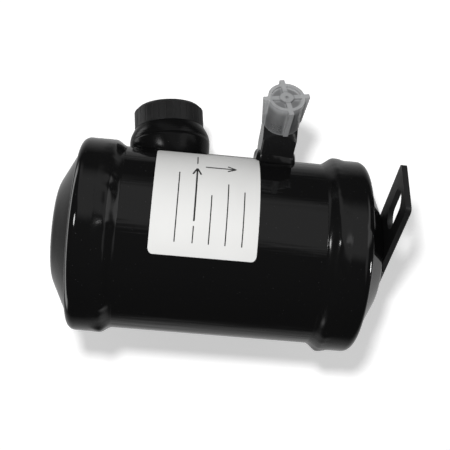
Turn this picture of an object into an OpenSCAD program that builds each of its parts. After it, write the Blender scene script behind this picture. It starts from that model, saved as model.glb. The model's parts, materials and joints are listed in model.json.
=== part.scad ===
// Refrigeration oil separator, standing upright on its slotted foot plate.
// Origin: on the vessel axis, at the underside of the foot plate. +Z is up and -Y is the front.

/* [Vessel] */
// Outside diameter of the shell tube
tube_od = 101.6; // [90:0.1:115]
// Wall thickness of the shell tube
tube_wall = 3; // [2:0.1:4]
// Distance between the rim planes of the two end caps
rim_to_rim = 158; // [150:1:190]
// Wall thickness of the pressed end caps
cap_wall = 3; // [2:0.1:4]
// Radial room between the tube and the end cap that slips over it
slip_gap = 0.1; // [0.05:0.05:0.3]
// Length of the end cap skirt below its rim plane
skirt_length = 18; // [15:0.5:20]
// Radius of the rounded knuckle at the rim
knuckle_r = 5; // [4:0.1:6]
// Height of the dome above the rim plane
dome_rise = 11; // [9:0.5:14]
// Radius at which the flat top of the dome turns down
dome_flat_r = 26; // [24:0.5:28]
// Radius of the bend between the dome flank and its flat top
dome_bend_r = 18; // [8:1:20]
// Radius where the dome flank meets the rim plane
dome_foot_r = 47; // [44:0.2:47.4]
// Length of the girth weld along the tube
weld_length = 7; // [4:0.5:9]
// Height of the girth weld above the skirt
weld_crown = 0.2; // [0.1:0.1:1]

/* [Gas ports] */
// Distance of the two gas ports below the rim of the top cap
port_drop = 48.4; // [47.6:0.1:54]
// Angle of the outlet from the front
outlet_angle = 68; // [60:1:80]
// Angle of the inlet from the front
inlet_angle = 158; // [150:1:180]
// Lean of the outlet towards the top end, as it was welded
outlet_lean = 7; // [0:0.5:8]
// Bore radius of a gas port
port_bore_r = 11; // [8:0.1:12]
// Thread radius of a gas port
thread_r = 15.9; // [14.5:0.05:16.5]
// Length of the thread above the collar
thread_length = 9.8; // [8.5:0.1:13]
// Chamfer at each end of the thread
thread_chamfer = 0.8; // [0.4:0.1:1.2]
// Radius of the neck that passes through the tube wall
neck_r = 15; // [13.5:0.1:15.5]
// Depth of the neck below the tube surface
neck_depth = 6; // [4:0.5:8]
// Largest radius of the collar
collar_r = 22.9; // [22.4:0.1:24]
// Radius of the collar where the cap sits on it
collar_seat_r = 19.9; // [18.5:0.1:20.5]
// Height of the collar seat above the tube surface
collar_height = 14.7; // [12.5:0.1:18]
// Height of the collar's widest place above its underside
collar_waist = 3.8; // [2:0.1:5]
// Least room between the tube and the collar's underside
collar_base = 0.4; // [0.2:0.1:1.5]
// Radius of the saddle weld where it meets the collar
saddle_r = 20.8; // [19:0.1:22]
// Room between the neck and the hole in the tube
neck_gap = 0.1; // [0.05:0.05:0.3]

/* [Gas port caps] */
// Outside radius of a gas port cap
port_cap_r = 19.9; // [18.5:0.1:20.5]
// Thickness of the cap's end
port_cap_end = 2.6; // [2.2:0.1:3.5]
// Chamfer round the cap's end
port_cap_chamfer = 2; // [0.8:0.1:2.1]
// Room between the thread and the cap
port_cap_gap = 0.3; // [0.2:0.05:0.5]
// Room between the collar seat and the cap's lip
port_cap_lip_gap = 0.2; // [0.1:0.05:0.4]
// Number of grip flutes round the cap
flute_count = 30; // [20:1:40]
// Radius of each grip flute
flute_r = 0.8; // [0.5:0.1:1.2]
// Depth of each grip flute
flute_depth = 0.14; // [0.1:0.02:0.3]

/* [Oil return fitting] */
// Depth of the oil return below the vessel's middle
oil_drop = 27.6; // [27.6:0.2:34]
// Angle of the oil return from the front, which is also the bend of its elbow
oil_angle = 47; // [46:0.5:50]
// Height of the elbow's bend above the tube surface
elbow_height = 5; // [4:0.1:7]
// Width of the elbow's square body
body_w = 18.4; // [17.4:0.1:18.6]
// Length of the square body from the bend to its shoulder
body_length = 24; // [20:0.2:30]
// Corner radius of the square body
body_corner_r = 0.9; // [0.5:0.1:2]
// Length over which the end of the square body is turned down
body_turn = 6; // [3:0.2:8]
// Radius of the turned shoulder
shoulder_r = 9; // [8.6:0.1:9.2]
// Radius of the elbow's root through the tube wall
root_r = 7; // [5.5:0.1:8]
// Depth of the root below the tube surface
root_depth = 5; // [4:0.2:7]
// Bore radius of the oil return, drilled from the flare end
oil_bore_r = 3; // [2.8:0.1:4]
// Bore radius of the oil return's root, drilled from inside
root_bore_r = 2.5; // [2:0.1:2.6]
// Thread radius of the flare end
flare_thread_r = 7.9; // [7.2:0.05:8.3]
// Length of the flare end from the shoulder to its nose
flare_length = 16; // [13:0.2:18]
// Length of the flare nose cone
flare_nose = 3.5; // [2.5:0.1:4]
// Width of the weld beside the elbow's square foot
oil_weld_w = 0.8; // [0.5:0.1:1]
// Corner radius of that weld
oil_weld_corner_r = 3.5; // [3.4:0.1:4.5]
// Height of that weld above the tube surface
oil_weld_height = 1.6; // [1:0.1:2.5]

/* [Oil return cap] */
// Outside radius of the clear cap
clear_cap_r = 9.8; // [9.6:0.1:11]
// Length of the clear cap
clear_cap_length = 19; // [18.2:0.2:22]
// Room between the flare thread and the clear cap
clear_cap_gap = 0.3; // [0.2:0.05:0.5]
// Room between the body's shoulder and the clear cap
clear_cap_lip_gap = 0.2; // [0.1:0.05:0.4]
// Thickness of the clear cap's recessed end
clear_cap_end = 1.2; // [0.8:0.1:1.6]
// Depth of the recess in the clear cap's end
clear_cap_recess = 1.4; // [0.8:0.1:1.6]
// Width of the rim round that recess
clear_cap_rim = 1.7; // [1.2:0.1:2.2]
// Height of the ribs above the clear cap's wall, at its closed end
rib_height = 2.6; // [1.2:0.1:3]
// Height of the ribs above the clear cap's wall, at its mouth
rib_foot_height = 0.8; // [0.4:0.1:1.2]
// Width of the ribs
rib_width = 2.6; // [1.4:0.1:3]
// Number of ribs
rib_count = 4; // [3:1:6]
// Turn of the first rib from the horizontal
rib_turn = 12; // [0:1:90]
// Radius of the hub in the clear cap's end
hub_r = 3.7; // [2.8:0.1:4.2]
// Radius of the hub's moulding dimple
dimple_r = 0.6; // [0.4:0.1:1]
// Depth of the hub's moulding dimple
dimple_depth = 0.8; // [0.4:0.1:1]

/* [Foot plate] */
// Thickness of the foot plate
foot_t = 3; // [2:0.1:5]
// Width of the foot plate
foot_w = 31; // [26:0.5:36]
// Reach of the foot plate in front of the vessel axis
foot_reach = 67; // [62:0.5:75]
// Length of the foot plate behind the vessel axis
foot_back = 18; // [14:0.5:20]
// Corner radius of the foot plate
foot_corner_r = 2.5; // [1.5:0.5:8]
// Width of the foot slot
slot_w = 13; // [9:0.5:15]
// Length of the foot slot from end to end
slot_length = 28; // [20:0.5:30]
// Distance of the slot's middle from the vessel axis
slot_reach = 47.5; // [46:0.5:50]
// Size of the fillet weld along the foot plate
foot_weld_size = 2.5; // [1.5:0.1:2.8]

/* [Label] */
// Width of the label round the tube
label_w = 72.9; // [60:0.1:80]
// Height of the label
label_h = 55.7; // [45:0.1:60]
// Height of the label's middle above the vessel's middle
label_rise = 9.6; // [6:0.1:12]
// Angle of the label's middle from the front
label_angle = -2; // [-6:0.5:6]
// Thickness of the label
label_t = 0.2; // [0.1:0.05:0.3]
// Glue line under the label
label_glue = 0.05; // [0.02:0.01:0.1]
// Corner radius of the label
label_corner_r = 2.5; // [1:0.1:4]

/* [Screens and baffle] */
// Outside radius of the screen cups
screen_r = 14; // [12:0.1:14.4]
// Wall thickness of the screen cups
screen_wall = 0.8; // [0.5:0.1:1.2]
// Length of the screen cups
screen_length = 24; // [18:0.5:26]
// Radius of the screen holes
screen_hole_r = 1.6; // [1:0.1:2]
// Screen holes round the cup
screen_holes = 8; // [6:1:10]
// Rows of screen holes
screen_rows = 4; // [2:1:5]
// Depth of the baffle below the vessel's middle
baffle_drop = 4; // [0:0.5:6]
// Thickness of the baffle
baffle_t = 1.5; // [1:0.1:2.5]
// Room between the baffle and the tube
baffle_gap = 0.1; // [0.05:0.05:0.3]
// Radius of the baffle's drain holes
drain_r = 4; // [3:0.1:5]
// Radius of the circle of drain holes
drain_circle_r = 34; // [26:0.5:38]
// Number of drain holes
drain_count = 12; // [8:1:16]
// Radius of the sump magnet
magnet_r = 8; // [5:0.1:12]
// Height of the sump magnet
magnet_h = 4; // [2:0.1:8]

/* [Float valve] */
// Radius of the valve body
valve_r = 8; // [7:0.1:10]
// Length of the valve body
valve_length = 14; // [12:0.5:16]
// Bore radius of the valve body
valve_bore_r = 2.3; // [2:0.05:2.6]
// Length of the valve seat
seat_length = 2; // [1.5:0.1:3]
// Radius of the hole in the valve seat
seat_hole_r = 1.2; // [0.9:0.05:1.4]
// Room round the valve seat
seat_gap = 0.05; // [0.02:0.01:0.1]
// Radius of the needle's stem
needle_r = 1.8; // [1.5:0.05:1.9]
// Radius of the needle's neck
needle_neck_r = 1; // [0.8:0.05:1.2]
// Radius of the needle's collars
needle_collar_r = 2.2; // [2:0.05:2.6]
// Thickness of each collar
needle_collar_t = 1.5; // [1:0.1:2]
// Length of the needle's neck
needle_neck = 3; // [2.8:0.1:3.6]
// Length of the needle's tip
needle_tip = 2.2; // [1.6:0.1:3]
// Height of the pivot above the valve's axis
pivot_height = 11; // [10:0.2:13]
// Radius of the pivot pin
pivot_r = 1.5; // [1.2:0.05:2]
// Running room of the pivot pin
pivot_gap = 0.05; // [0.02:0.01:0.1]
// Radius of the arm's hub and of the pivot lugs
pivot_boss_r = 3.4; // [2.8:0.1:4]
// Width of the arm's hub
arm_hub_w = 6.4; // [5:0.1:8]
// Thickness of each pivot lug
lug_t = 2; // [1.5:0.1:3]
// Side room between the hub and the lugs
lug_gap = 0.3; // [0.2:0.05:0.5]
// Radius of the arm
arm_r = 1.6; // [1.2:0.1:2]
// Thickness of the fork that works the needle
fork_t = 1.6; // [1.2:0.1:2]
// Side room between the fork and the needle's neck
fork_gap = 0.5; // [0.3:0.05:0.8]
// Depth of the fork below the valve's axis
fork_depth = 2; // [1.6:0.1:2.4]
// Radius of the float ball
float_r = 17; // [14:0.5:19]
// Wall thickness of the float ball
float_wall = 0.8; // [0.5:0.1:1.5]
// Distance of the float's middle from the pivot, towards the vessel axis and beyond
float_out = 43; // [38:0.5:46]
// Depth of the float's middle below the pivot
float_below = 24; // [20:0.5:28]

/* [Hidden] */
$fn = 96;

// A cut that runs clear of the faces it passes through
past = 1;
tube_r = tube_od / 2;
tube_in_r = tube_r - tube_wall;
skirt_in_r = tube_r + slip_gap;
skirt_r = skirt_in_r + cap_wall;
bottom_rim_z = foot_t + dome_rise;
middle_z = bottom_rim_z + rim_to_rim / 2;
top_rim_z = bottom_rim_z + rim_to_rim;
tube_end_gap = knuckle_r + 1;
dome_flank = atan2(dome_rise, dome_foot_r - dome_flat_r);
dome_contact_r = dome_flat_r - dome_bend_r * tan(dome_flank / 2);
port_z = top_rim_z - port_drop;
oil_z = middle_z - oil_drop;

collar_under = tube_r + collar_base + saddle_r * sin(outlet_lean);
thread_start = tube_r + collar_height;
thread_end = thread_start + thread_length;
neck_end = tube_r - neck_depth;
port_cap_start = thread_start + port_cap_lip_gap;
port_cap_roof = thread_end + port_cap_gap;
port_cap_stop = port_cap_roof + port_cap_end;

bend_reach = tube_r + elbow_height;
bend_x = bend_reach * sin(oil_angle);
bend_y = -bend_reach * cos(oil_angle);
root_end = tube_r - root_depth;

valve_start = root_end - valve_length;
seat_stop = valve_start + valve_length / 2 + seat_length;
needle_start = valve_start - needle_collar_t;
neck_middle = needle_start - needle_neck / 2;
pivot_x = neck_middle;
pivot_z = oil_z + pivot_height;
lug_in_y = arm_hub_w / 2 + lug_gap;
lug_out_y = lug_in_y + lug_t;
float_x = pivot_x - float_out;
float_z = pivot_z - float_below;

steel_black = [0.04, 0.04, 0.045];
weld_black = [0.06, 0.06, 0.065];
cap_black = [0.07, 0.07, 0.07];
clear_grey = [0.75, 0.76, 0.77, 0.6];
paper_white = [0.93, 0.93, 0.92];
bare_steel = [0.6, 0.6, 0.62];
brass = [0.78, 0.63, 0.35];

// Points along an arc, from one angle to another
function arc(x, y, r, from, to, steps) =
    [for (i = [0 : steps]) let (a = from + (to - from) * i / steps) [x + r * cos(a), y + r * sin(a)]];

// Turns a shape that stands along +Z into one that points out of the vessel at an angle from the front,
// leaning upwards about the place where it meets the tube
module at_port(angle, level, lean = 0) {
    translate([0, 0, level])
        rotate([0, 0, angle - 90])
            translate([tube_r, 0, 0])
                rotate([0, 90 - lean, 0])
                    translate([0, 0, -tube_r])
                        children();
}

// Turns a shape drawn with +X pointing out of the vessel to the oil return's angle
module at_oil_return() {
    rotate([0, 0, oil_angle - 90])
        children();
}

// Solid dome: a flat top, a rounded bend and a straight flank down to a short plug below its rim plane
module dome_solid(plug) {
    rotate_extrude()
        polygon(concat(
            [[0, -plug], [0, dome_rise]],
            arc(dome_contact_r, dome_rise - dome_bend_r, dome_bend_r, 90, 90 - dome_flank, 6),
            [[dome_foot_r, 0], [dome_foot_r, -plug]]));
}

// Solid skirt with its rounded knuckle, up to the rim plane at z = 0
module skirt_solid() {
    rotate_extrude() {
        translate([0, -skirt_length])
            square([skirt_r, skirt_length - knuckle_r]);
        translate([0, -knuckle_r - past])
            square([skirt_r - knuckle_r, knuckle_r + past]);
        translate([skirt_r - knuckle_r, -knuckle_r])
            intersection() {
                circle(knuckle_r);
                square(knuckle_r + past);
            }
    }
}

// Pressed end cap with its rim plane at z = 0 and its dome upwards
module end_cap() {
    color(steel_black)
        difference() {
            union() {
                skirt_solid();
                dome_solid(knuckle_r);
            }
            translate([0, 0, -skirt_length - past])
                cylinder(r = skirt_in_r, h = skirt_length - tube_end_gap + past);
            translate([0, 0, -tube_end_gap - past])
                cylinder(r = tube_in_r, h = tube_end_gap + past - cap_wall);
            translate([0, 0, -cap_wall])
                dome_solid(knuckle_r);
        }
}

// Fillet of weld metal between the skirt's edge at z = 0 and the tube below it
module girth_weld() {
    rise = skirt_r + weld_crown - tube_r;
    steps = 6;
    bead = [for (i = [1 : steps - 1]) let (t = i / steps)
            [tube_r + rise * (1 - cos(180 * t)) / 2, -weld_length * (1 - t)]];
    color(weld_black)
        rotate_extrude()
            polygon(concat([[tube_r, 0], [tube_r, -weld_length]], bead, [[skirt_r, 0]]));
}

module shell_tube() {
    color(steel_black)
        difference() {
            translate([0, 0, bottom_rim_z + tube_end_gap])
                cylinder(r = tube_r, h = rim_to_rim - 2 * tube_end_gap);
            translate([0, 0, bottom_rim_z])
                cylinder(r = tube_in_r, h = rim_to_rim);
            for (port = [[outlet_angle, outlet_lean], [inlet_angle, 0]])
                at_port(port[0], port_z, port[1])
                    cylinder(r = neck_r + neck_gap, h = tube_od);
            at_port(oil_angle, oil_z)
                cylinder(r = root_r + neck_gap, h = tube_od);
        }
}

module top_cap() {
    translate([0, 0, top_rim_z])
        end_cap();
}

module bottom_cap() {
    translate([0, 0, bottom_rim_z])
        mirror([0, 0, 1])
            end_cap();
}

module top_weld() {
    translate([0, 0, top_rim_z - skirt_length])
        girth_weld();
}

module bottom_weld() {
    translate([0, 0, bottom_rim_z + skirt_length])
        mirror([0, 0, 1])
            girth_weld();
}

// Rectangle with rounded corners, drawn from its lower left corner
module rounded_rectangle(w, h, r) {
    translate([r, 0])
        square([w - 2 * r, h]);
    translate([0, r])
        square([w, h - 2 * r]);
    for (x = [r, w - r], y = [r, h - r])
        translate([x, y])
            circle(r);
}

module foot_plate() {
    slot_r = slot_w / 2;
    color(steel_black)
        linear_extrude(foot_t)
            difference() {
                translate([-foot_w / 2, -foot_reach])
                    rounded_rectangle(foot_w, foot_reach + foot_back, foot_corner_r);
                for (end = [-1, 1])
                    translate([0, -slot_reach + end * (slot_length / 2 - slot_r)])
                        circle(slot_r);
                translate([-slot_r, -slot_reach - slot_length / 2 + slot_r])
                    square([slot_w, slot_length - slot_w]);
            }
}

// One fillet bead along each side of the foot plate, under the flat of the dome
module foot_weld() {
    bead = 2 * sqrt(pow(dome_contact_r, 2) - pow(foot_w / 2 + foot_weld_size, 2));
    color(weld_black)
        for (side = [0, 1])
            mirror([side, 0, 0])
                translate([foot_w / 2, 0, foot_t])
                    rotate([90, 0, 0])
                        linear_extrude(bead, center = true)
                            intersection() {
                                circle(foot_weld_size);
                                translate([0, -foot_weld_size])
                                    square(foot_weld_size);
                            }
}

// Half section of a gas port that stands along +Z: neck, bulged collar, thread
module spigot_section() {
    waist = collar_under + collar_waist;
    steps = 6;
    below = [for (i = [steps : -1 : 0]) let (t = i / steps)
             [saddle_r + (collar_r - saddle_r) * cos(90 * t), waist + (collar_under - waist) * sin(90 * t)]];
    above = [for (i = [1 : steps]) let (t = i / steps)
             [collar_seat_r + (collar_r - collar_seat_r) * cos(90 * t), waist + (thread_start - waist) * t]];
    polygon(concat(
        [[port_bore_r, neck_end], [neck_r, neck_end], [neck_r, collar_under]],
        below,
        above,
        [[thread_r - thread_chamfer, thread_start], [thread_r, thread_start + thread_chamfer],
         [thread_r, thread_end - thread_chamfer], [thread_r - thread_chamfer, thread_end],
         [port_bore_r, thread_end]]));
}

module spigot() {
    color(steel_black)
        rotate_extrude()
            spigot_section();
}

// Saddle of weld metal between the round tube and the flat underside of the collar
module saddle_weld(angle, lean) {
    start = neck_end - neck_depth;
    color(weld_black)
        difference() {
            at_port(angle, port_z, lean)
                difference() {
                    translate([0, 0, start])
                        cylinder(r = saddle_r, h = collar_under - start);
                    translate([0, 0, start - past])
                        cylinder(r = neck_r + neck_gap, h = collar_under - start + 2 * past);
                }
            cylinder(r = tube_r, h = top_rim_z);
        }
}

// Moulded cap that pushes over the port's thread
module port_cap() {
    height = port_cap_stop - port_cap_start;
    color(cap_black)
        translate([0, 0, port_cap_start])
            difference() {
                union() {
                    cylinder(r = port_cap_r, h = height - port_cap_chamfer);
                    translate([0, 0, height - port_cap_chamfer])
                        cylinder(r1 = port_cap_r, r2 = port_cap_r - port_cap_chamfer, h = port_cap_chamfer);
                }
                translate([0, 0, -past])
                    cylinder(r = thread_r + port_cap_gap, h = height - port_cap_end + past);
                for (i = [0 : flute_count - 1])
                    rotate([0, 0, 360 * i / flute_count])
                        translate([port_cap_r + flute_r - flute_depth, 0, past])
                            cylinder(r = flute_r, h = height);
            }
}

module outlet_spigot() {
    at_port(outlet_angle, port_z, outlet_lean)
        spigot();
}

module outlet_weld() {
    saddle_weld(outlet_angle, outlet_lean);
}

module outlet_cap() {
    at_port(outlet_angle, port_z, outlet_lean)
        port_cap();
}

module inlet_spigot() {
    at_port(inlet_angle, port_z)
        spigot();
}

module inlet_weld() {
    saddle_weld(inlet_angle, 0);
}

module inlet_cap() {
    at_port(inlet_angle, port_z)
        port_cap();
}

// Places a shape that stands along +Z so that it runs forward out of the elbow's bend
module at_elbow_bend() {
    translate([bend_x, bend_y, oil_z])
        rotate([90, 0, 0])
            children();
}

// Square section of the elbow's body, about its middle
module body_section() {
    translate([-body_w / 2, -body_w / 2])
        rounded_rectangle(body_w, body_w, body_corner_r);
}

// Solid outside of the elbow above the tube, without its bores: a round back at the bend, and a square body
// whose end is turned down to a shoulder
module elbow_outside() {
    corner_r = body_w / sqrt(2);
    translate([bend_x, bend_y, oil_z])
        rotate_extrude()
            intersection() {
                body_section();
                translate([0, -body_w])
                    square([body_w, 2 * body_w]);
            }
    at_elbow_bend()
        intersection() {
            linear_extrude(body_length)
                body_section();
            union() {
                cylinder(r = corner_r, h = body_length - body_turn);
                translate([0, 0, body_length - body_turn])
                    cylinder(r1 = corner_r, r2 = shoulder_r, h = body_turn);
            }
        }
}

module oil_return_elbow() {
    color(steel_black)
        difference() {
            union() {
                difference() {
                    elbow_outside();
                    cylinder(r = tube_r, h = top_rim_z);
                }
                at_port(oil_angle, oil_z)
                    translate([0, 0, root_end])
                        cylinder(r = root_r, h = bend_reach - root_end);
                at_elbow_bend() {
                    translate([0, 0, body_length - past])
                        cylinder(r = flare_thread_r, h = flare_length - flare_nose + past);
                    translate([0, 0, body_length + flare_length - flare_nose])
                        cylinder(r1 = flare_thread_r, r2 = flare_thread_r - flare_nose, h = flare_nose);
                }
            }
            at_port(oil_angle, oil_z)
                translate([0, 0, root_end - past])
                    cylinder(r = root_bore_r, h = bend_reach - root_end + past);
            at_elbow_bend()
                translate([0, 0, -oil_bore_r])
                    cylinder(r = oil_bore_r, h = oil_bore_r + body_length + flare_length + past);
        }
}

module oil_return_weld() {
    $fn = 240;
    width = body_w + 2 * oil_weld_w;
    color(weld_black)
        difference() {
            at_port(oil_angle, oil_z)
                translate([-width / 2, -width / 2, root_end])
                    linear_extrude(root_depth + oil_weld_height)
                        rounded_rectangle(width, width, oil_weld_corner_r);
            cylinder(r = tube_r, h = top_rim_z);
            elbow_outside();
            at_port(oil_angle, oil_z)
                cylinder(r = root_r, h = bend_reach);
        }
}

// Clear cap: plain wall, longitudinal ribs that run over the end as spokes, a hub and recessed windows
module oil_return_cap() {
    inside_r = flare_thread_r + clear_cap_gap;
    rib_root_r = clear_cap_r - clear_cap_rim / 2;
    window_r = clear_cap_r - clear_cap_rim;
    floor_z = clear_cap_length - clear_cap_recess;
    color(clear_grey)
        at_elbow_bend()
            translate([0, 0, body_length + clear_cap_lip_gap])
                difference() {
                    union() {
                        difference() {
                            cylinder(r = clear_cap_r, h = clear_cap_length);
                            translate([0, 0, floor_z])
                                cylinder(r = window_r, h = clear_cap_recess + past);
                        }
                        translate([0, 0, floor_z - clear_cap_end / 2])
                            cylinder(r = hub_r, h = clear_cap_recess + clear_cap_end / 2);
                        for (i = [0 : rib_count - 1])
                            rotate([90, 0, rib_turn + 360 * i / rib_count])
                                linear_extrude(rib_width, center = true)
                                    polygon([[rib_root_r, 0], [clear_cap_r + rib_foot_height, 0],
                                             [clear_cap_r + rib_height, clear_cap_length], [0, clear_cap_length],
                                             [0, floor_z - clear_cap_end / 2],
                                             [rib_root_r, floor_z - clear_cap_end / 2]]);
                    }
                    translate([0, 0, -past])
                        cylinder(r = inside_r, h = floor_z - clear_cap_end + past);
                    translate([0, 0, clear_cap_length - dimple_depth])
                        cylinder(r = dimple_r, h = dimple_depth + past);
                }
}

// Paper label wrapped on the tube, cut as a rounded rectangle
module label() {
    inner_r = tube_r + label_glue;
    chord = 2 * inner_r * sin(label_w / inner_r * 90 / PI);
    color(paper_white)
        rotate([0, 0, label_angle])
            translate([0, 0, middle_z + label_rise - label_h / 2])
                intersection() {
                    difference() {
                        cylinder(r = inner_r + label_t, h = label_h);
                        translate([0, 0, -past])
                            cylinder(r = inner_r, h = label_h + 2 * past);
                    }
                    translate([-chord / 2, 0, 0])
                        rotate([90, 0, 0])
                            linear_extrude(tube_od)
                                rounded_rectangle(chord, label_h, label_corner_r);
                }
}

// Perforated cup that hangs on the inner end of a gas port
module screen_cup() {
    pitch = screen_length / (screen_rows + 1);
    color(bare_steel)
        translate([0, 0, neck_end - screen_length])
            difference() {
                cylinder(r = screen_r, h = screen_length);
                translate([0, 0, screen_wall])
                    cylinder(r = screen_r - screen_wall, h = screen_length);
                for (row = [1 : screen_rows], i = [0 : screen_holes / 2 - 1])
                    translate([0, 0, row * pitch])
                        rotate([90, 0, 360 * i / screen_holes])
                            cylinder(r = screen_hole_r, h = 3 * screen_r, center = true, $fn = 24);
            }
}

module outlet_screen() {
    at_port(outlet_angle, port_z, outlet_lean)
        screen_cup();
}

module inlet_screen() {
    at_port(inlet_angle, port_z)
        screen_cup();
}

module sump_baffle() {
    color(bare_steel)
        translate([0, 0, middle_z - baffle_drop])
            difference() {
                cylinder(r = tube_in_r - baffle_gap, h = baffle_t);
                for (i = [0 : drain_count - 1])
                    rotate([0, 0, 360 * i / drain_count])
                        translate([drain_circle_r, 0, -past])
                            cylinder(r = drain_r, h = baffle_t + 2 * past);
            }
}

module magnet() {
    color(bare_steel)
        translate([0, 0, foot_t + cap_wall])
            cylinder(r = magnet_r, h = magnet_h);
}

// Shape that stands along +Z, laid along +X at the valve's axis
module along_valve() {
    translate([0, 0, oil_z])
        rotate([0, 90, 0])
            children();
}

module valve_body() {
    color(brass)
        at_oil_return()
            difference() {
                union() {
                    along_valve()
                        translate([0, 0, valve_start])
                            cylinder(r = valve_r, h = valve_length);
                    for (side = [0, 1])
                        mirror([0, side, 0])
                            translate([0, lug_in_y, 0]) {
                                translate([pivot_x, 0, pivot_z])
                                    rotate([-90, 0, 0])
                                        cylinder(r = pivot_boss_r, h = lug_t);
                                translate([pivot_x, 0, pivot_z - pivot_boss_r])
                                    cube([valve_start + valve_length / 2 - pivot_x, lug_t, 2 * pivot_boss_r]);
                                translate([valve_start, 0, oil_z])
                                    cube([valve_length / 2, lug_t, pivot_height]);
                            }
                }
                along_valve()
                    translate([0, 0, valve_start - past])
                        cylinder(r = valve_bore_r, h = valve_length + 2 * past);
                translate([pivot_x, 0, pivot_z])
                    rotate([90, 0, 0])
                        cylinder(r = pivot_r + pivot_gap, h = 3 * lug_out_y, center = true);
            }
}

module valve_seat() {
    color(bare_steel)
        at_oil_return()
            along_valve()
                translate([0, 0, seat_stop - seat_length])
                    difference() {
                        cylinder(r = valve_bore_r - seat_gap, h = seat_length);
                        translate([0, 0, -past])
                            cylinder(r = seat_hole_r, h = seat_length + 2 * past);
                    }
}

module needle() {
    tail = needle_start - needle_neck - needle_collar_t;
    tip_start = seat_stop - seat_length - needle_tip * (1 - seat_hole_r / needle_r) - seat_gap;
    color(bare_steel)
        at_oil_return()
            along_valve()
                rotate_extrude()
                    polygon([[0, tail], [needle_collar_r, tail], [needle_collar_r, tail + needle_collar_t],
                             [needle_neck_r, tail + needle_collar_t], [needle_neck_r, needle_start],
                             [needle_collar_r, needle_start], [needle_collar_r, needle_start + needle_collar_t / 2],
                             [needle_r, needle_start + needle_collar_t / 2], [needle_r, tip_start],
                             [0, tip_start + needle_tip]]);
}

module pivot_pin() {
    color(bare_steel)
        at_oil_return()
            translate([pivot_x, 0, pivot_z])
                rotate([90, 0, 0])
                    cylinder(r = pivot_r, h = 2 * lug_out_y, center = true);
}

// Arm with a hub on the pivot, a fork down to the needle's neck and a rod out to the float
module float_arm() {
    reach = sqrt(float_out * float_out + float_below * float_below);
    prong_in = needle_neck_r + fork_gap;
    prong_out = arm_hub_w / 2;
    color(bare_steel)
        at_oil_return()
            translate([pivot_x, 0, pivot_z])
                difference() {
                    union() {
                        rotate([90, 0, 0])
                            cylinder(r = pivot_boss_r, h = arm_hub_w, center = true);
                        for (side = [-1, 1])
                            translate([-fork_t / 2, side * (prong_in + prong_out) / 2 - (prong_out - prong_in) / 2,
                                       -pivot_height - fork_depth])
                                cube([fork_t, prong_out - prong_in, pivot_height + fork_depth]);
                        rotate([0, 180 + atan2(float_out, float_below), 0])
                            cylinder(r = arm_r, h = reach - float_r - seat_gap);
                    }
                    rotate([90, 0, 0])
                        cylinder(r = pivot_r + pivot_gap, h = 2 * arm_hub_w, center = true);
                }
}

module float_ball() {
    color(brass)
        at_oil_return()
            translate([float_x, 0, float_z])
                difference() {
                    sphere(float_r);
                    sphere(float_r - float_wall);
                }
}

shell_tube();
top_cap();
bottom_cap();
top_weld();
bottom_weld();
foot_plate();
foot_weld();
outlet_spigot();
outlet_weld();
outlet_cap();
inlet_spigot();
inlet_weld();
inlet_cap();
oil_return_elbow();
oil_return_weld();
oil_return_cap();
label();
outlet_screen();
inlet_screen();
sump_baffle();
magnet();
valve_body();
valve_seat();
needle();
pivot_pin();
float_arm();
float_ball();
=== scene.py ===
import json
from math import ceil, cos, exp, hypot, pi, radians, sin, sqrt

import bmesh
import bpy
from mathutils import Matrix, Vector, noise

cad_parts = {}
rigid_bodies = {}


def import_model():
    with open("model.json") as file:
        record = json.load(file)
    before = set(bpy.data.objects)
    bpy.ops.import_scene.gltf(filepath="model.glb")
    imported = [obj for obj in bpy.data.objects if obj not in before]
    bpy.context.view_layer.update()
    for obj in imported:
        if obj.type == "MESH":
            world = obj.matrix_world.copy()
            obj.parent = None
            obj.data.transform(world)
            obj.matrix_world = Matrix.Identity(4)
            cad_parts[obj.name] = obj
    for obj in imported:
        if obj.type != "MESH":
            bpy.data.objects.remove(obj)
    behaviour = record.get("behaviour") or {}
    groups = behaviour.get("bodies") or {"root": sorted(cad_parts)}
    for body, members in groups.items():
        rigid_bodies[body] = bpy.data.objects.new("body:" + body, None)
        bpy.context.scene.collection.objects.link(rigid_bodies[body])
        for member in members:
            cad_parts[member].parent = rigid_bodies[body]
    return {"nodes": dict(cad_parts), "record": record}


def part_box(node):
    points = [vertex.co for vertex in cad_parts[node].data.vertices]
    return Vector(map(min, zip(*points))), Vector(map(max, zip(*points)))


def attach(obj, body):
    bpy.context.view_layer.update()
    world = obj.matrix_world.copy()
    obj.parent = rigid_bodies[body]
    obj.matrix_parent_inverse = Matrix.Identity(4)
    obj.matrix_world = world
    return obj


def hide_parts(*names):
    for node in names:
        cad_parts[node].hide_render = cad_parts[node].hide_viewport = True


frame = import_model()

# The objects that Blender starts with are taken out.
nodes = frame["nodes"]
for stray in [item for item in bpy.data.objects if item.name in ("Cube", "Light", "Camera")]:
    bpy.data.objects.remove(stray)
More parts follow.
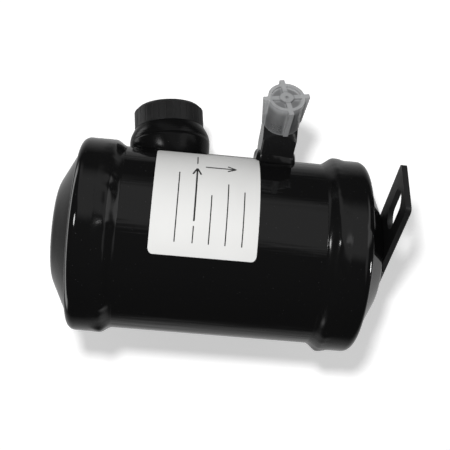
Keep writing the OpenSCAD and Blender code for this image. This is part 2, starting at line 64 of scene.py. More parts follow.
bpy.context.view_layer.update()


# Shell and end caps.
# The shell is a drawn steel tube, and each end cap is a pressed steel cup pushed over the tube's end.
# The welded vessel is dipped in glossy black enamel, which lies a little uneven and has caught some dust.
class Shade:
    """One output socket of a material's nodes, so that shader maths reads as Python expressions."""

    def __init__(self, tree, socket=None):
        self.tree = tree
        self.socket = socket

    def feed(self, made, sockets):
        """Gives a node's input sockets their values or links."""
        for name, value in sockets.items():
            if isinstance(value, Shade):
                self.tree.links.new(value.socket, made.inputs[name])
            else:
                made.inputs[name].default_value = value

    def node(self, kind, settings=None, sockets=None, out=0):
        """Any node: its type, its settings, which are set first, and its sockets' values or links."""
        made = self.tree.nodes.new(kind)
        for name, value in (settings or {}).items():
            setattr(made, name, value)
        self.feed(made, sockets or {})
        return Shade(self.tree, made.outputs[out])

    def __add__(self, other):
        return self.node("ShaderNodeMath", {"operation": "ADD"}, {0: self, 1: other})

    __radd__ = __add__

    def __sub__(self, other):
        return self.node("ShaderNodeMath", {"operation": "SUBTRACT"}, {0: self, 1: other})

    def __rsub__(self, other):
        return self.node("ShaderNodeMath", {"operation": "SUBTRACT"}, {0: other, 1: self})

    def __mul__(self, other):
        return self.node("ShaderNodeMath", {"operation": "MULTIPLY"}, {0: self, 1: other})

    __rmul__ = __mul__


def new_finish(name):
    """A material, its surface shader, and a starting point for its nodes."""
    finish = bpy.data.materials.new(name)
    finish.use_nodes = True
    return finish, finish.node_tree.nodes["Principled BSDF"], Shade(finish.node_tree)


def noise_of(start, place, grain, detail=2.0):
    """Soft noise from 0 to 1 whose blobs measure about `grain` metres."""
    return start.node("ShaderNodeTexNoise", None, {"Vector": place, "Scale": 1 / grain, "Detail": detail})


def drawn_out(start, place):
    """Places drawn together along the vessel's axis, so that noise on them runs in long lines."""
    return start.node("ShaderNodeMapping", None, {"Vector": place, "Scale": (1.0, 1.0, 0.06)})


def step_of(value, low, high):
    """0 below `low`, 1 above `high`, with a soft step between them."""
    return value.node("ShaderNodeMapRange", {"interpolation_type": "SMOOTHSTEP"},
                      {"Value": value, "From Min": low, "From Max": high})


def blend_of(factor, first, second):
    """The first colour where the factor is 0, the second where it is 1."""
    return factor.node("ShaderNodeMix", {"data_type": "RGBA"}, {0: factor, 6: first, 7: second}, out=2)


def relief_of(height, depth=1.0):
    """A surface normal raised by a height in metres, or by a share of `depth` metres."""
    return height.node("ShaderNodeBump", None, {"Height": height, "Strength": 1.0, "Distance": depth})


def grey(level):
    """A grey with a trace of blue."""
    blue_cast = 1.03
    return (level, level, level * blue_cast, 1.0)


def black_enamel(name, polish, peel_depth, sag_depth, draw_depth=0.0, shine=0.5, tone=0.004):
    """Dipped black enamel: fine orange peel, slow sags and settled dust. Over a drawn tube, the marks of the
    drawing show through."""
    dust_tone = 0.06
    finish, surface, start = new_finish(name)
    place = start.node("ShaderNodeTexCoord", out="Object")
    peel = noise_of(start, place, grain=0.0011)
    sag = noise_of(start, place, grain=0.016, detail=3.0)
    dust = step_of(noise_of(start, place, grain=0.0006, detail=0.0), low=0.84, high=0.88)
    haze = step_of(noise_of(start, place, grain=0.035, detail=5.0), low=0.45, high=0.8)
    height = peel * peel_depth + sag * sag_depth
    if draw_depth:
        height = height + noise_of(start, drawn_out(start, place), grain=0.007, detail=3.0) * draw_depth
    start.feed(surface, {
        "Base Color": blend_of(dust * 0.5, grey(tone), grey(dust_tone)),
        "Roughness": polish + 0.04 * haze + 0.25 * dust,
        "Normal": relief_of(height),
        "Specular IOR Level": shine,
    })
    return finish


def dress(name, finish):
    """Gives a node of the frame its finish."""
    nodes[name].data.materials.clear()
    nodes[name].data.materials.append(finish)


tube_enamel = black_enamel("tube_enamel", polish=0.07, peel_depth=0.000003, sag_depth=0.00007,
                           draw_depth=0.0004)
end_enamel = black_enamel("end_enamel", polish=0.07, peel_depth=0.000003, sag_depth=0.0001)
dress("shell_tube", tube_enamel)
dress("top_cap", end_enamel)
dress("bottom_cap", end_enamel)


# Girth welds.
# Each end cap is welded to the tube all round, by hand, with a fillet of weld metal along its skirt's edge.
# Under the enamel the beads stay lumpy, with the ripple of the passes and a few long blobs.
weld_enamel = black_enamel("weld_enamel", polish=0.15, peel_depth=0.000003, sag_depth=0.00009)
tube_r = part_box("shell_tube")[1].x
skirt_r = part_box("top_cap")[1].x
bead_columns = 360
bead_rows = 24
bead_over = 1.9
bead_sink = 0.0004
bead_skin = 0.00012


def new_piece(name, points, faces, finish):
    """A smooth closed mesh with its faces turned outwards, which rides on the vessel."""
    mesh = bpy.data.meshes.new(name)
    mesh.from_pydata([tuple(point) for point in points], [], faces)
    shape = bmesh.new()
    shape.from_mesh(mesh)
    bmesh.ops.recalc_face_normals(shape, faces=shape.faces)
    shape.to_mesh(mesh)
    shape.free()
    mesh.polygons.foreach_set("use_smooth", [True] * len(mesh.polygons))
    mesh.materials.append(finish)
    piece = bpy.data.objects.new(name, mesh)
    bpy.context.scene.collection.objects.link(piece)
    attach(piece, "vessel")
    return piece


def ring_bead(name, points, columns, rows, finish):
    """A closed ring of weld metal in place of a node, from its points, section by section. Each section has
    `rows` points on the outside, which is smooth, and two more out of sight in the metal that it joins."""
    around = rows + 2
    faces = [(c * around + r, (c + 1) % columns * around + r,
              (c + 1) % columns * around + (r + 1) % around, c * around + (r + 1) % around)
             for c in range(columns) for r in range(around)]
    bead = new_piece(name + "_bead", points, faces, finish)
    for polygon in bead.data.polygons:
        polygon.use_smooth = polygon.index % around < rows - 1
    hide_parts(name)


def lump(along, across, seed):
    """Height of hand-laid weld metal, from about -1 to 1, at a place on the bead in metres."""
    swell_long, swell_wide = 0.013, 0.008
    pass_long, pass_wide = 0.0036, 0.009
    pass_share = 0.2
    swells = noise.noise((along / swell_long, across / swell_wide, seed))
    passes = noise.noise((along / pass_long, across / pass_wide, seed + 7.0))
    return swells + pass_share * passes


def girth_bead(name, seed, blobs):
    """Fillet round the vessel: it leaves the tube without an edge, climbs to the skirt, runs on over it to
    `bead_over` times the fillet's width, and is lumpy between. Each blob is the end of a pass:
    (degrees round from +X, mm past the toe, length in mm, height in mm)."""
    low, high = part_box(name)
    edge, toe = (high.z, low.z) if name == "top_weld" else (low.z, high.z)
    lump_height = 0.0005
    blob_width = 2
    blob_share = 0.2
    blob_fade = 6
    skin_sink = 0.3
    points = []
    for c in range(bead_columns):
        turn = 2 * pi * c / bead_columns
        where = Vector((cos(turn), sin(turn), 0.0))
        for r in range(bead_rows):
            climb = r / (bead_rows - 1)
            past = (edge - toe) * bead_over * climb
            rise = (skirt_r - tube_r) * (1 - cos(pi * min(1.0, climb * bead_over))) / 2
            rise += lump_height * lump(turn * tube_r, past, seed) * sin(pi * climb) ** 1.5
            fade = min(1.0, blob_fade * (1 - climb), blob_fade * climb)
            for degrees, centre, length, height in blobs:
                along = (turn - radians(degrees)) * tube_r * 1000 / (length / 2)
                across = (abs(past) * 1000 - centre) / (blob_width + blob_share * length)
                rise += height / 1000 * exp(-along ** 2 - across ** 2) * fade
            skin = bead_skin * (sin(pi * climb) - skin_sink)
            points.append(where * (tube_r + rise + skin) + Vector((0, 0, toe + past)))
        points.append(where * (tube_r - bead_sink) + Vector((0, 0, toe + (edge - toe) * bead_over)))
        points.append(where * (tube_r - bead_sink) + Vector((0, 0, toe)))
    ring_bead(name, points, bead_columns, bead_rows, weld_enamel)


girth_bead("top_weld", seed=2.0, blobs=(
    (270, 5, 6, 0.8), (259, 5, 10, 1.0), (242, 5, 9, 0.8), (191, 5, 5, 0.8),
    (165, 6, 9, 1.2), (118, 6, 8, 1.0), (70, 5, 12, 1.1), (15, 6, 7, 0.9)))
girth_bead("bottom_weld", seed=31.0, blobs=(
    (322, 8, 13, 0.8), (243, 8, 8, 0.6), (205, 5, 9, 0.6),
    (150, 7, 10, 1.1), (95, 6, 7, 0.9), (48, 5, 11, 1.0), (8, 6, 8, 0.8)))


# Foot plate and its welds.
# The foot is a strip of 3 mm steel with one long fixing slot, laid under the flat of the bottom dome.
# A short fillet holds each side; the same enamel covers plate and welds, paler on the plate as painted light.
# Painted light: the plate's base grey is paler than the welds' (0.01 against 0.004), so it reads more lit.
foot_enamel = black_enamel("foot_enamel", polish=0.34, peel_depth=0.000006, sag_depth=0.00004,
                           shine=0.7, tone=0.01)
dress("foot_plate", foot_enamel)
foot_edge = nodes["foot_plate"].modifiers.new("welded_corners", "WELD")
foot_edge.merge_threshold = 0.00001
foot_round = nodes["foot_plate"].modifiers.new("broken_edges", "BEVEL")
foot_round.width = 0.0007
foot_round.segments = 3
foot_round.limit_method = "ANGLE"
foot_round.harden_normals = True


def foot_beads():
    """Two rippled fillets with a quarter-round section and blunt ends, along the sides of the plate."""
    low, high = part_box("foot_weld")
    plate_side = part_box("foot_plate")[1].x
    size = high.x - plate_side
    ripple = 0.0004
    blunt = 0.06
    columns = 60
    rows = 8
    points = []
    faces = []
    for side in (-1, 1):
        first = len(points)
        for c in range(columns + 1):
            along = low.y + (high.y - low.y) * c / columns
            taper = sin(pi * (blunt + (1 - 2 * blunt) * c / columns)) ** 0.25
            points.append((side * (plate_side - bead_sink), along, high.z + bead_sink))
            for r in range(rows):
                turn = pi / 2 * r / (rows - 1)
                swell = taper * (size + ripple * lump(along, size * turn, 50.0 + side))
                points.append((side * (plate_side + swell * cos(turn)), along, high.z - swell * sin(turn)))
        for c in range(columns):
            for r in range(rows + 1):
                after = (r + 1) % (rows + 1)
                start = first + c * (rows + 1)
                faces.append((start + r, start + rows + 1 + r, start + rows + 1 + after, start + after))
        last = first + columns * (rows + 1)
        faces.extend(tuple(range(end, end + rows + 1)) for end in (first, last))
    bead = new_piece("foot_weld_bead", points, faces, weld_enamel)
    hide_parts("foot_weld")


foot_beads()


# Gas ports.
# Each port is a turned steel spigot with a bulged collar and an outside thread for a union nut.
# It is set through the tube and held by a saddle of weld metal under the collar.
port_enamel = black_enamel("port_enamel", polish=0.22, peel_depth=0.000003, sag_depth=0.00009, shine=0.14)
port_pitch = 0.0021
port_lead = 0.0014
port_plain_ends = 0.0036
thread_height = 0.00022
collar_lap = 0.00004
past_collar = 0.003


def mount_of(name):
    """Direction and place of one of the record's mounts."""
    mount = [item for item in frame["record"]["mounts"] if item["name"] == name][0]
    return Vector(mount["axis"]), Vector(mount["pos_m"])


def port_of(name):
    """A gas port's direction out of the vessel, and the point where its axis meets the tube."""
    out, end = mount_of(name)
    return out, end - out * ((hypot(end.x, end.y) - tube_r) / hypot(out.x, out.y))


def reach_of(name, out, foot):
    """Least and greatest distance of a node along a branch's axis, from the tube's surface."""
    along = [(Vector(vertex.co) - foot).dot(out) for vertex in nodes[name].data.vertices]
    return min(along), max(along)


def saddle_bead(name, finish, out, foot, toe_r, top_r, top, corners, seed, lump_height):
    """Bead round a branch, from the round tube to a place on the branch, `top` along its axis. It swells out
    under a wider branch and closes in on a narrower one. `corners` is 2 for a round branch, and more for a
    square one."""
    side = Vector((0, 0, 1)).cross(out).normalized()
    up = out.cross(side)
    lump_width = 0.003
    hidden = 0.002
    columns = 240
    rows = 10

    def ground(across, rise):
        level = sqrt(tube_r ** 2 - across ** 2) - tube_r
        return (level + rise * out.z) / hypot(out.x, out.y) - bead_sink

    points = []
    for c in range(columns):
        turn = 2 * pi * c / columns
        square = (abs(cos(turn)) ** corners + abs(sin(turn)) ** corners) ** (-1 / corners)
        for r in range(rows):
            climb = pi / 2 * r / (rows - 1)
            ways = (sin(climb), 1 - cos(climb))
            inward, upward = ways if top_r > toe_r else ways[::-1]
            wave = lump_height * sin(2 * climb) * lump(turn * toe_r, climb * lump_width, seed)
            away = (toe_r + (top_r - toe_r) * inward) * square + wave
            across, rise = away * cos(turn), away * sin(turn)
            floor = ground(across, rise)
            points.append(foot + side * across + up * rise + out * (floor + (top - floor) * upward + wave))
        across, rise = (top_r - hidden) * square * cos(turn), (top_r - hidden) * square * sin(turn)
        for height in (top, ground(across, rise)):
            points.append(foot + side * across + up * rise + out * height)
    ring_bead(name, points, columns, rows, finish)


def thread_ridge(name, foot, out, radius, length, pitch, finish):
    """One helical ridge along a plain turned end, fading out at both of its ends. Each point of its section
    is (along, lift), in shares of the pitch and of the thread's height."""
    side = Vector((0, 0, 1)).cross(out).normalized()
    up = out.cross(side)
    section = ((-0.42, -0.15), (-0.1, 1.0), (0.1, 1.0), (0.42, -0.15))
    per_turn = 64
    fade_rate = 3
    steps = ceil(length / pitch * per_turn)
    points = []
    for s in range(steps + 1):
        turn = 2 * pi * s / per_turn
        fade = min(1.0, fade_rate * s / per_turn, fade_rate * (steps - s) / per_turn)
        spoke = side * cos(turn) + up * sin(turn)
        for along, lift in section:
            points.append(foot + out * (length * s / steps + along * pitch)
                          + spoke * (radius + thread_height * (lift * fade if lift > 0 else lift)))
    faces = [(s * 4 + r, s * 4 + 4 + r, s * 4 + 4 + (r + 1) % 4, s * 4 + (r + 1) % 4)
             for s in range(steps) for r in range(4)]
    faces.extend(tuple(range(end, end + 4)) for end in (0, steps * 4))
    ridge = new_piece(name, points, faces, finish)
    for polygon in ridge.data.polygons:
        polygon.use_smooth = False


for port in ("outlet", "inlet"):
    out, foot = port_of(port + "_port")
    weld_low, weld_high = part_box(port + "_weld")
    saddle_r = (weld_high.z - weld_low.z) / 2
    cap_start = reach_of(port + "_cap", out, foot)[0]
    thread_end = reach_of(port + "_spigot", out, foot)[1]
    spokes = [Vector(vertex.co) - foot for vertex in nodes[port + "_spigot"].data.vertices]
    widths = [((spoke - out * spoke.dot(out)).length, spoke.dot(out)) for spoke in spokes]
    waist_r, waist = max(widths)
    thread_r = max(width for width, along in widths if along > cap_start + past_collar)
    dress(port + "_spigot", port_enamel)
    saddle_bead(port + "_weld", port_enamel, out, foot, toe_r=saddle_r, top_r=waist_r + collar_lap,
                top=waist, corners=2, seed=11.0 + foot.x * 100, lump_height=0.0004)
    thread_ridge(port + "_thread", foot + out * (cap_start + port_lead), out, thread_r,
                 thread_end - cap_start - port_plain_ends, port_pitch, port_enamel)


# Gas port caps.
# Both ports keep their shipping caps: shallow black polyethylene cups with fine flutes moulded round the rim.
# They only push on over the thread and pull straight off.
def moulded_black(name):
    """Black polyethylene: satin, slightly mottled, with pale rubbed patches."""
    finish, surface, start = new_finish(name)
    place = start.node("ShaderNodeTexCoord", out="Object")
    grain = noise_of(start, place, grain=0.0004, detail=3.0)
    flow = noise_of(start, place, grain=0.006, detail=4.0)
    rub = step_of(noise_of(start, place, grain=0.0035, detail=6.0), low=0.52, high=0.75)
    start.feed(surface, {
        "Base Color": blend_of(rub, grey(0.006), grey(0.012)),
        "Roughness": 0.42 + 0.12 * flow + 0.1 * rub,
        "Normal": relief_of(grain * 0.00002 + flow * 0.00005),
        "Specular IOR Level": 0.38,
    })
    return finish


cap_black = moulded_black("cap_black")
for name in ("outlet_cap", "inlet_cap"):
    dress(name, cap_black)


# Oil return.
# A forged steel elbow, square in its body so that a spanner can hold it, with a flare end for the oil pipe.
# It is welded low on the side of the tube and carries the oil that the float valve lets out.
# Painted light: the elbow's base grey is paler than the vessel's (0.011 against 0.004), so it reads more lit.
elbow_enamel = black_enamel("elbow_enamel", polish=0.16, peel_depth=0.000008, sag_depth=0.00016,
                            shine=0.9, tone=0.011)
dress("oil_return_elbow", elbow_enamel)
oil_bead_toe = 0.0012
oil_bead_neck = 0.0006
oil_bead_rise = 0.0036
flare_r = 0.0079
flare_pitch = 0.0014
flare_lead = 0.0012
flare_length = 0.0105

# The needle slides along the axis of the elbow's inner branch, so its joint gives that axis.
needle_lift = [joint for joint in frame["record"]["behaviour"]["joints"] if joint["name"] == "needle_lift"][0]
oil_out = -Vector(needle_lift["axis"])
oil_weld_low, oil_weld_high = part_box("oil_return_weld")
oil_weld_half = (oil_weld_high.z - oil_weld_low.z) / 2
oil_foot = oil_out * tube_r + Vector((0, 0, (oil_weld_low.z + oil_weld_high.z) / 2))
oil_weld_top = reach_of("oil_return_weld", oil_out, oil_foot)[1]
saddle_bead("oil_return_weld", weld_enamel, oil_out, oil_foot, toe_r=oil_weld_half + oil_bead_toe,
            top_r=oil_weld_half - oil_bead_neck, top=oil_weld_top + oil_bead_rise,
            corners=6, seed=77.0, lump_height=0.0009)
flare_out, flare_end = mount_of("oil_return")
flare_start = Vector((flare_end.x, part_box("oil_return_cap")[1].y, flare_end.z))
thread_ridge("oil_return_thread", flare_start + flare_out * flare_lead, flare_out, flare_r,
             flare_length, flare_pitch, elbow_enamel)


# Clear cap on the oil return.
# A soft push-on cap of natural polyethylene, cloudy where the wall is thick, with four ribs that run over its
# end as spokes to a small hub.
def natural_polyethylene(name, middle, end_y):
    """Cloudy polyethylene: pale in the thick ribs, spokes, hub and rim, and darker where the wall is thin,
    though the thin wall is paler near the closed end and at the mouth. A painted shadow darkens a groove
    round the hub, and painted shade darkens a pinhole in its middle. `middle` is the middle of the cap's
    mouth, and
    `end_y` is where its closed end lies."""
    rib_half = 0.0014
    rib_turn = radians(12)
    hub_r = 0.0038
    window_r = 0.0081
    finish, surface, start = new_finish(name)
    place = start.node("ShaderNodeTexCoord", out="Object")
    split = start.node("ShaderNodeSeparateXYZ", None, {"Vector": place})
    x = split - middle.x
    y = Shade(start.tree, split.socket.node.outputs["Y"])
    z = Shade(start.tree, split.socket.node.outputs["Z"]) - middle.z
    first = x * cos(rib_turn) + z * sin(rib_turn)
    second = z * cos(rib_turn) - x * sin(rib_turn)
    nearest = start.node("ShaderNodeMath", {"operation": "MINIMUM"},
                         {0: start.node("ShaderNodeMath", {"operation": "ABSOLUTE"}, {0: first}),
                          1: start.node("ShaderNodeMath", {"operation": "ABSOLUTE"}, {0: second})})
    radius = start.node("ShaderNodeMath", {"operation": "SQRT"}, {0: x * x + z * z})
    rib = 1 - step_of(nearest, rib_half * 0.5, rib_half * 1.9)
    hub = 1 - step_of(radius, hub_r * 0.75, hub_r * 1.15)
    # Painted shade: the middle of the hub is darkened as if a pinhole went in there.
    painted_pit_shade = 1 - step_of(radius, hub_r * 0.1, hub_r * 0.45)
    rim = step_of(radius, window_r * 0.8, window_r * 1.02) * (1 - step_of(y, end_y + 0.001, end_y + 0.005))
    # Painted shadow: a thin dark ring round the hub, where a groove would hold shade.
    ring = step_of(radius, hub_r * 0.88, hub_r) * (1 - step_of(radius, hub_r * 1.04, hub_r * 1.18))
    near_end = 1 - step_of(y, end_y + 0.002, end_y + 0.015)
    mouth = step_of(y, middle.y - 0.0014, middle.y - 0.0005)
    thick = start.node("ShaderNodeMath", {"operation": "MAXIMUM"}, {0: rib, 1: hub})
    thick = start.node("ShaderNodeMath", {"operation": "MAXIMUM"}, {0: thick, 1: rim})
    cloud = noise_of(start, place, grain=0.004, detail=4.0)
    scuff = noise_of(start, place, grain=0.0005, detail=3.0)
    # The pinhole's painted shade and the groove's painted shadow darken the thick milk here.
    thick_milk_and_painted_shade = thick * (1 - 0.55 * painted_pit_shade - 0.4 * ring)
    # The thin wall is paler near the closed end and at the mouth's lip.
    thin_wall_paleness = (1 - thick) * (0.34 * near_end + 0.3 * mouth)
    paleness_and_painted_shade = (thick_milk_and_painted_shade + thin_wall_paleness) * (0.6 + 0.8 * cloud)
    start.feed(surface, {
        "Base Color": blend_of(paleness_and_painted_shade, (0.125, 0.127, 0.13, 1.0), (0.36, 0.365, 0.37, 1.0)),
        "Roughness": 0.3 + 0.16 * cloud,
        "Normal": relief_of(scuff * 0.00001 + cloud * 0.0001),
        "Alpha": 0.64 + 0.16 * thick,
        "IOR": 1.51,
    })
    return finish


clear_end_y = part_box("oil_return_cap")[0].y
dress("oil_return_cap", natural_polyethylene("cap_clear", flare_start, clear_end_y))


# Label.
# A white film label with round corners, stuck on the front of the tube. It carries two flow arrows and blank
# rules to write on, printed in dark ink.
def label_film(name):
    """White film: satin, faintly fibrous, a little yellowed and stained."""
    finish, surface, start = new_finish(name)
    place = start.node("ShaderNodeTexCoord", out="Object")
    fibre = noise_of(start, place, grain=0.0005, detail=3.0)
    stain = noise_of(start, place, grain=0.02, detail=4.0)
    start.feed(surface, {
        "Base Color": blend_of(stain, (0.68, 0.68, 0.67, 1.0), (0.62, 0.62, 0.61, 1.0)),
        "Roughness": 0.36 + 0.14 * stain,
        "Normal": relief_of(fibre * 0.000008 + stain * 0.00003),
        "Specular IOR Level": 0.4,
    })
    return finish


def label_ink(name):
    """Dark ink, worn paler in places."""
    finish, surface, start = new_finish(name)
    place = start.node("ShaderNodeTexCoord", out="Object")
    wear = step_of(noise_of(start, place, grain=0.0006, detail=3.0), low=0.5, high=0.75)
    start.feed(surface, {
        "Base Color": blend_of(wear, grey(0.015), grey(0.05)),
        "Roughness": 0.5 + 0.1 * wear,
    })
    return finish


dress("label", label_film("label_film"))
print_proud = 0.00003
print_depth = 0.00002
print_r = print_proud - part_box("label")[0].y
middle_z = (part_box("shell_tube")[0].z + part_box("shell_tube")[1].z) / 2


def print_lines():
    """Strokes of ink on the label. Each runs from one place to another, given in degrees round from the
    front and mm up from the middle of the tube, and has a width in mm. A rule is given by the degrees of
    its two ends and the mm up."""
    arrow_width = 0.9
    rule_width = 0.6
    cut_length = 0.0008
    flow_tip = (15.8, 15.2)
    return_tip = (18.0, -5.4)
    strokes = [((-22.2, 15.2), flow_tip, arrow_width)]
    strokes += [(wing, flow_tip, arrow_width) for wing in ((10.2, 17.4), (10.2, 13.0))]
    strokes += [((18.0, 10.8), return_tip, arrow_width)]
    strokes += [(wing, return_tip, arrow_width) for wing in ((20.6, -1.0), (15.4, -1.0))]
    rules = ((-35, 11, 24.4), (-35, -25, 15.2), (-35, -5, 6.9),
             (-35, 4, -1.6), (-35, -1, -10.2), (21, 31, 15.2))
    strokes += [((first, up), (last, up), rule_width) for first, last, up in rules]
    points = []
    faces = []
    for (a1, u1), (a2, u2), width in strokes:
        p1 = Vector((radians(a1) * print_r, u1 / 1000))
        p2 = Vector((radians(a2) * print_r, u2 / 1000))
        across = (p2 - p1).normalized().orthogonal() * width / 2000
        cuts = max(2, ceil((p2 - p1).length / cut_length))
        first = len(points)
        for c in range(cuts + 1):
            centre = p1.lerp(p2, c / cuts)
            for edge in (centre - across, centre + across):
                turn = edge.x / print_r
                for radius in (print_r - print_depth, print_r + print_depth):
                    points.append((radius * sin(turn), -radius * cos(turn), middle_z + edge.y))
        for c in range(cuts):
            start = first + 4 * c
            for a, b in ((0, 1), (1, 3), (3, 2), (2, 0)):
                faces.append((start + a, start + b, start + 4 + b, start + 4 + a))
        faces.append((first, first + 2, first + 3, first + 1))
        last = first + 4 * cuts
        faces.append((last, last + 1, last + 3, last + 2))
    ink = new_piece("label_print", points, faces, label_ink("label_ink"))
    for polygon in ink.data.polygons:
        polygon.use_smooth = False


print_lines()


# Inside of the vessel.
# Screens over the gas ports and a drilled baffle knock the oil out of the gas, and a magnet in the sump holds
# steel dust. These are plain drawn steel, wetted with oil.
def drawn_steel(name, tone, polish):
    """Drawn steel: fine lines along the vessel's axis under an uneven film of oil."""
    finish, surface, start = new_finish(name)
    place = start.node("ShaderNodeTexCoord", out="Object")
    lines = noise_of(start, drawn_out(start, place), grain=0.0002, detail=3.0)
    film = noise_of(start, place, grain=0.008, detail=4.0)
    start.feed(surface, {
        "Base Color": blend_of(film, grey(tone * 0.8), grey(tone)),
        "Metallic": 1.0,
        "Roughness": polish + 0.18 * lines + 0.1 * film,
        "Normal": relief_of(lines, depth=0.000015),
    })
    return finish


screen_steel = drawn_steel("screen_steel", tone=0.52, polish=0.28)
for name in ("outlet_screen", "inlet_screen", "sump_baffle"):
    dress(name, screen_steel)
dress("magnet", drawn_steel("magnet_steel", tone=0.22, polish=0.4))


# Float valve.
# A turned brass body on the inner end of the oil return holds a hard seat, a steel needle and the pivot of a
# bent arm. The hollow brass float on the arm lifts the needle when oil has gathered.
def turned_brass(name, polish):
    """Turned brass: fine tool marks, and brown tarnish in patches."""
    finish, surface, start = new_finish(name)
    place = start.node("ShaderNodeTexCoord", out="Object")
    pulled = start.node("ShaderNodeMapping", None, {"Vector": place, "Scale": (0.1, 1.0, 1.0)})
    marks = noise_of(start, pulled, grain=0.0003)
    tarnish = step_of(noise_of(start, place, grain=0.007, detail=5.0), low=0.4, high=0.75)
    start.feed(surface, {
        "Base Color": blend_of(tarnish, (0.78, 0.58, 0.27, 1.0), (0.52, 0.36, 0.15, 1.0)),
        "Metallic": 1.0,
        "Roughness": polish + 0.15 * marks + 0.15 * tarnish,
        "Normal": relief_of(marks, depth=0.000012),
    })
    return finish


dress("valve_body", turned_brass("valve_brass", polish=0.22))
dress("float_ball", turned_brass("float_brass", polish=0.16))
pin_steel = drawn_steel("pin_steel", tone=0.62, polish=0.18)
for name in ("valve_seat", "needle", "pivot_pin", "float_arm"):
    dress(name, pin_steel)


# Camera.
# It looks at the vessel from the front and to the left of the label, turned so that the vessel's axis lies
# across the picture with its top to the left.
camera_at = Vector((-0.2868, -0.4145, 0.1192))
camera_right = Vector((0.0363, -0.0995, -0.9944)).normalized()
camera_back = Vector((-0.5867, -0.8076, 0.0594))
camera_back = (camera_back - camera_right * camera_back.dot(camera_right)).normalized()
camera_up = camera_back.cross(camera_right)
lens = bpy.data.cameras.new("photo_camera")
lens.sensor_width = 36.0
lens.lens = 71.32
camera = bpy.data.objects.new("photo_camera", lens)
camera.matrix_world = Matrix((
    (camera_right.x, camera_up.x, camera_back.x, camera_at.x),
    (camera_right.y, camera_up.y, camera_back.y, camera_at.y),
    (camera_right.z, camera_up.z, camera_back.z, camera_at.z),
    (0.0, 0.0, 0.0, 1.0)))
bpy.context.scene.collection.objects.link(camera)
bpy.context.scene.camera = camera


# Stage and light.
# The separator lies with its back to a pale table that is square to the camera. A small lamp above the camera
# lights it. Two more, left and right, only show as highlights in the enamel, and so does the room.
middle = Vector((0.0, 0.0, middle_z))
table_behind = 0.1
table_size = 0.9
table_at = middle - camera_back * table_behind


def pale_table():
    """A one-sided sheet of paper that fades out round the separator and is dim in the enamel."""
    fade_start = 0.14
    fade_end = 0.42
    gloss_loss = 0.74
    corners = [table_at + camera_right * (table_size * a) + camera_up * (table_size * b)
               for a, b in ((-1, -1), (1, -1), (1, 1), (-1, 1))]
    mesh = bpy.data.meshes.new("pale_table")
    mesh.from_pydata([tuple(corner) for corner in corners], [], [(0, 1, 2, 3)])
    table = bpy.data.objects.new("pale_table", mesh)
    bpy.context.scene.collection.objects.link(table)
    finish = bpy.data.materials.new("table_paper")
    finish.use_nodes = True
    tree = finish.node_tree
    tree.nodes.clear()
    start = Shade(tree)
    place = start.node("ShaderNodeTexCoord", out="Object")
    away = start.node("ShaderNodeVectorMath", {"operation": "DISTANCE"},
                      {0: place, 1: tuple(table_at)}, out="Value")
    back = start.node("ShaderNodeNewGeometry", out="Backfacing")
    glossy = start.node("ShaderNodeLightPath", out="Is Glossy Ray")
    gone = 1 - (1 - step_of(away, fade_start, fade_end)) * (1 - back) * (1 - gloss_loss * glossy)
    paper = start.node("ShaderNodeBsdfDiffuse", None, {"Color": (0.84, 0.84, 0.84, 1.0)})
    lift = start.node("ShaderNodeEmission", None, {"Color": (1.0, 1.0, 1.0, 1.0), "Strength": 0.42})
    sheet = start.node("ShaderNodeAddShader", None, {0: paper, 1: lift})
    clear = start.node("ShaderNodeBsdfTransparent")
    seen = start.node("ShaderNodeMixShader", None, {0: gone, 1: sheet, 2: clear})
    output = tree.nodes.new("ShaderNodeOutputMaterial")
    tree.links.new(seen.socket, output.inputs["Surface"])
    mesh.materials.append(finish)


def soft_lamp(name, back, up, right, height, width, power, shows_in):
    """An oval lamp turned to the middle of the vessel, with its width along the vessel and its place given
    as the camera sees it. It lights the dull surfaces ("paint"), or the glossy ones mirror it ("gloss")."""
    place = middle + camera_back * back + camera_up * up + camera_right * right
    lamp = bpy.data.lights.new(name, "AREA")
    lamp.shape = "ELLIPSE"
    lamp.size = height
    lamp.size_y = width
    lamp.energy = power
    made = bpy.data.objects.new(name, lamp)
    made.location = place
    made.rotation_mode = "QUATERNION"
    made.rotation_quaternion = (middle - place).to_track_quat("-Z", "Y")
    made.visible_camera = False
    made.visible_glossy = shows_in == "gloss"
    made.visible_diffuse = shows_in == "paint"
    bpy.context.scene.collection.objects.link(made)


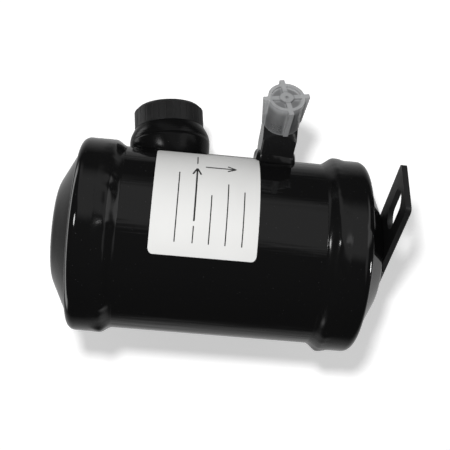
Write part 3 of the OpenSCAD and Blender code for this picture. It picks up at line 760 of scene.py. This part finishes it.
def pale_room():
    """White to the eye. In the enamel it is bright behind the separator and dim elsewhere, with a window to
    the left, a doorway to the right and a ceiling that slants across."""
    ambient = 0.25
    dim_light = 0.03
    behind_light = 0.2
    window_light = 2.4
    ceiling_light = 0.36
    doorway_light = 0.9
    near_slant = 1.31
    far_slant = 0.7
    world = bpy.data.worlds.new("pale_room")
    bpy.context.scene.world = world
    world.use_nodes = True
    start = Shade(world.node_tree)
    direction = start.node("ShaderNodeTexCoord", out="Generated")

    def towards(way):
        return start.node("ShaderNodeVectorMath", {"operation": "DOT_PRODUCT"},
                          {0: direction, 1: tuple(way)}, out="Value")

    ahead = towards(-camera_back)
    across = towards(camera_right)
    above = towards(camera_up)
    behind = step_of(ahead, 0.55, 0.98)
    window = (1 - step_of(across, -0.75, -0.6)) * step_of(ahead, 0.1, 0.2) * (1 - step_of(ahead, 0.42, 0.52))
    near_edge = step_of(above + near_slant * across, 0.2, 0.44)
    far_edge = step_of(ahead + far_slant * across, -0.4, -0.05)
    ceiling = near_edge * (1 - far_edge)
    doorway = step_of(across, 0.42, 0.6) * step_of(above, 0.1, 0.25) * (1 - step_of(ahead, -0.3, 0.0))
    mirrored = (dim_light + behind_light * behind + window_light * window
                + ceiling_light * ceiling + doorway_light * doorway)
    eye = start.node("ShaderNodeLightPath", out="Is Camera Ray")
    glossy = start.node("ShaderNodeLightPath", out="Is Glossy Ray")
    strength = eye + (1 - eye) * (glossy * mirrored + (1 - glossy) * ambient)
    start.feed(world.node_tree.nodes["Background"], {"Color": (1.0, 1.0, 1.0, 1.0), "Strength": strength})


pale_table()
soft_lamp("key_lamp", back=0.56, up=0.1, right=-0.028, height=0.045, width=0.045, power=2.9, shows_in="paint")
soft_lamp("catch_lamp", back=0.74, up=0.25, right=-0.45, height=0.18, width=0.2, power=1.5, shows_in="gloss")
soft_lamp("side_lamp", back=0.02, up=-0.11, right=0.6, height=0.08, width=0.05, power=0.4, shows_in="gloss")
pale_room()
bpy.context.scene.view_settings.view_transform = "Standard"
